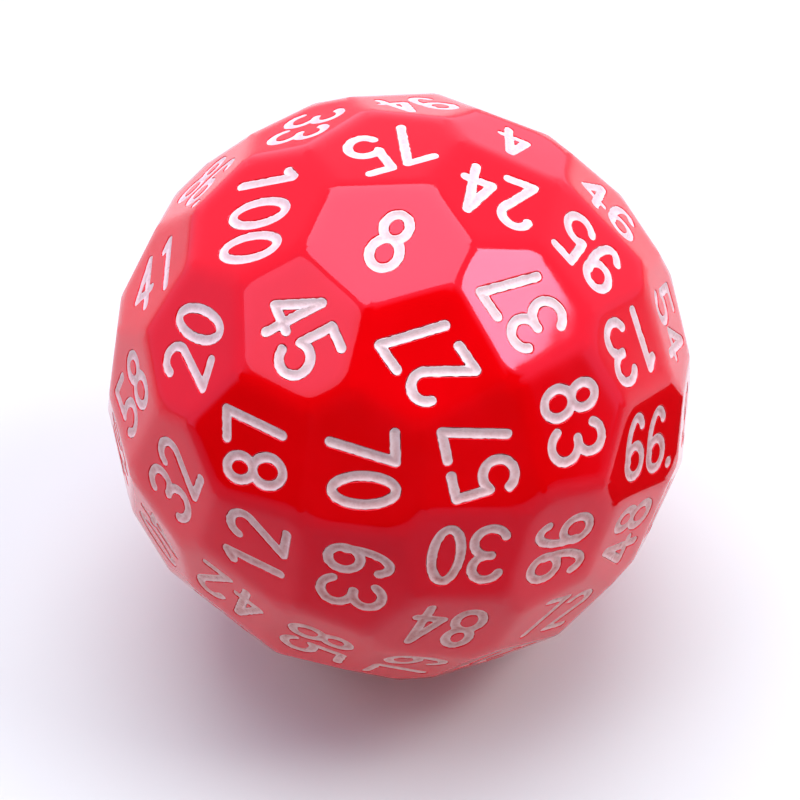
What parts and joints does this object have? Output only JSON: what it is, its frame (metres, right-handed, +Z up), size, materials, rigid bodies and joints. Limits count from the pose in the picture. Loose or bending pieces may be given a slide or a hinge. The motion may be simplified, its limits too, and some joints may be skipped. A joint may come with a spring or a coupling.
{
  "type": "polyhedral die",
  "caption": "Nearly round moulded plastic die whose many flat facets carry engraved, paint-filled numbers; it comes to rest on one facet with its opposite facet on top.",
  "frame": {"origin": "centre of the facet the die rests on, which is the bottom centre of its box", "axes": "+Z up through the top facet; the die has no front, and -Y is the side that faces a person looking at number 57"},
  "size_m": [0.046, 0.0458, 0.045],
  "materials": {
    "red_plastic": "polished opaque red moulding",
    "white_paint": "satin white paint, slightly uneven, wiped into the engraving"
  },
  "bodies": {
    "root": {"body": "red_plastic", "numerals_01_100": "white_paint", "numerals_02_99": "white_paint", "numerals_03_98": "white_paint", "numerals_04_97": "white_paint", "numerals_05_96": "white_paint", "numerals_06_95": "white_paint", "numerals_07_94": "white_paint", "numerals_08_93": "white_paint", "numerals_09_92": "white_paint", "numerals_10_91": "white_paint", "numerals_11_90": "white_paint", "numerals_12_89": "white_paint", "numerals_13_88": "white_paint", "numerals_14_87": "white_paint", "numerals_15_86": "white_paint", "numerals_16_85": "white_paint", "numerals_17_84": "white_paint", "numerals_18_83": "white_paint", "numerals_19_82": "white_paint", "numerals_20_81": "white_paint", "numerals_21_80": "white_paint", "numerals_22_79": "white_paint", "numerals_23_78": "white_paint", "numerals_24_77": "white_paint", "numerals_25_76": "white_paint", "numerals_26_75": "white_paint", "numerals_27_74": "white_paint", "numerals_28_73": "white_paint", "numerals_29_72": "white_paint", "numerals_30_71": "white_paint", "numerals_31_70": "white_paint", "numerals_32_69": "white_paint", "numerals_33_68": "white_paint", "numerals_34_67": "white_paint", "numerals_35_66": "white_paint", "numerals_36_65": "white_paint", "numerals_37_64": "white_paint", "numerals_38_63": "white_paint", "numerals_39_62": "white_paint", "numerals_40_61": "white_paint", "numerals_41_60": "white_paint", "numerals_42_59": "white_paint", "numerals_43_58": "white_paint", "numerals_44_57": "white_paint", "numerals_45_56": "white_paint", "numerals_46_55": "white_paint", "numerals_47_54": "white_paint", "numerals_48_53": "white_paint", "numerals_49_52": "white_paint", "numerals_50_51": "white_paint"}
  },
  "joints": []
}
